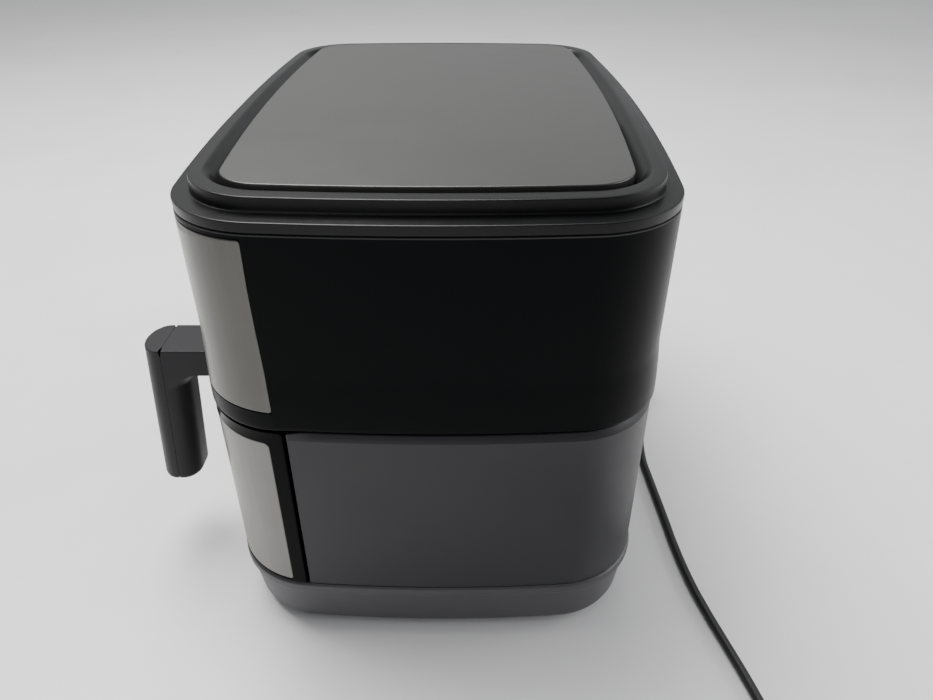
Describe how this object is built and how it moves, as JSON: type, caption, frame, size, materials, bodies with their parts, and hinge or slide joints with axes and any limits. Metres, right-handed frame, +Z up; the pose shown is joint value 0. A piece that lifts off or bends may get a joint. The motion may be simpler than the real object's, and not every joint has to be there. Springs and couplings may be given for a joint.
{
  "type": "air fryer",
  "caption": "Wide countertop air fryer with side-by-side drawers on hanging handles, a stepped lid, steel front band and corners, and a mains cord.",
  "frame": {"origin": "middle of the plan of the fryer with its handles, on the table, the cord left out", "axes": "+Z up, -Y out of the drawers' fronts, +X towards the right-hand drawer as a user facing the front sees it"},
  "size_m": [0.5803, 0.4315, 0.3175],
  "materials": {
    "housing_black": "semi-gloss moulded",
    "lower_grey": "satin moulded",
    "cover_black": "semi-gloss moulded",
    "plate_black": "satin moulded",
    "frame_gloss": "high gloss",
    "brushed_steel": "fine brushed",
    "handle_grey": "satin moulded",
    "pan_coating": "non-stick coating on steel",
    "sheet_metal": "coated sheet",
    "bright_metal": "bright",
    "rubber": "matte",
    "control_glass": "clear gloss over black",
    "circuit_board": "printed board"
  },
  "bodies": {
    "body": {"base_pan": "lower_grey", "control_board": "circuit_board", "control_glass": "control_glass", "cord": "rubber", "cord_coil": "rubber", "cord_relief": "rubber", "cord_tail": "rubber", "drawer_switch_left": "housing_black", "drawer_switch_right": "housing_black", "foot_front_left": "rubber", "foot_front_right": "rubber", "foot_rear_left": "rubber", "foot_rear_right": "rubber", "front_band": "brushed_steel", "front_bezel": "housing_black", "guard_left": "bright_metal", "guard_right": "bright_metal", "heater_left": "sheet_metal", "heater_right": "sheet_metal", "liner_left": "sheet_metal", "liner_right": "sheet_metal", "lower_housing": "lower_grey", "mid_deck": "housing_black", "motor_bridge": "sheet_metal", "motor_left": "sheet_metal", "motor_right": "sheet_metal", "plug": "rubber", "power_board": "circuit_board", "rear_vent": "housing_black", "reflector_left": "bright_metal", "reflector_right": "bright_metal", "temp_sensor_left": "bright_metal", "temp_sensor_right": "bright_metal", "thermal_fuse_left": "housing_black", "thermal_fuse_right": "housing_black", "top_cover": "cover_black", "top_plate": "plate_black", "upper_housing": "housing_black"},
    "drawer_right": {"drawer_frame_right": "frame_gloss", "drawer_steel_right": "brushed_steel", "handle_body_right": "handle_grey", "handle_cover_right": "handle_grey", "pan_right": "pan_coating"},
    "crisper_plate_right": {"crisper_right": "pan_coating"},
    "rotor_right": {"fan_right": "sheet_metal", "shaft_right": "sheet_metal", "cooling_fan_right": "housing_black"},
    "drawer_left": {"drawer_frame_left": "frame_gloss", "drawer_steel_left": "brushed_steel", "handle_body_left": "handle_grey", "handle_cover_left": "handle_grey", "pan_left": "pan_coating"},
    "crisper_plate_left": {"crisper_left": "pan_coating"},
    "rotor_left": {"fan_left": "sheet_metal", "shaft_left": "sheet_metal", "cooling_fan_left": "housing_black"}
  },
  "joints": [
    {"name": "drawer_right_slide", "type": "slide", "parent": "body", "child": "drawer_right", "axis": [0, -1, 0], "range_m": [0, 0.24]},
    {"name": "crisper_right_lift", "type": "slide", "parent": "drawer_right", "child": "crisper_plate_right", "axis": [0, 0, 1], "range_m": [0, 0.1]},
    {"name": "rotor_right_spin", "type": "hinge", "parent": "body", "child": "rotor_right", "pos_m": [0.094, 0.02925, 0.22], "axis": [0, 0, 1], "continuous": true},
    {"name": "drawer_left_slide", "type": "slide", "parent": "body", "child": "drawer_left", "axis": [0, -1, 0], "range_m": [0, 0.24]},
    {"name": "crisper_left_lift", "type": "slide", "parent": "drawer_left", "child": "crisper_plate_left", "axis": [0, 0, 1], "range_m": [0, 0.1]},
    {"name": "rotor_left_spin", "type": "hinge", "parent": "body", "child": "rotor_left", "pos_m": [-0.094, 0.02925, 0.22], "axis": [0, 0, 1], "continuous": true}
  ]
}
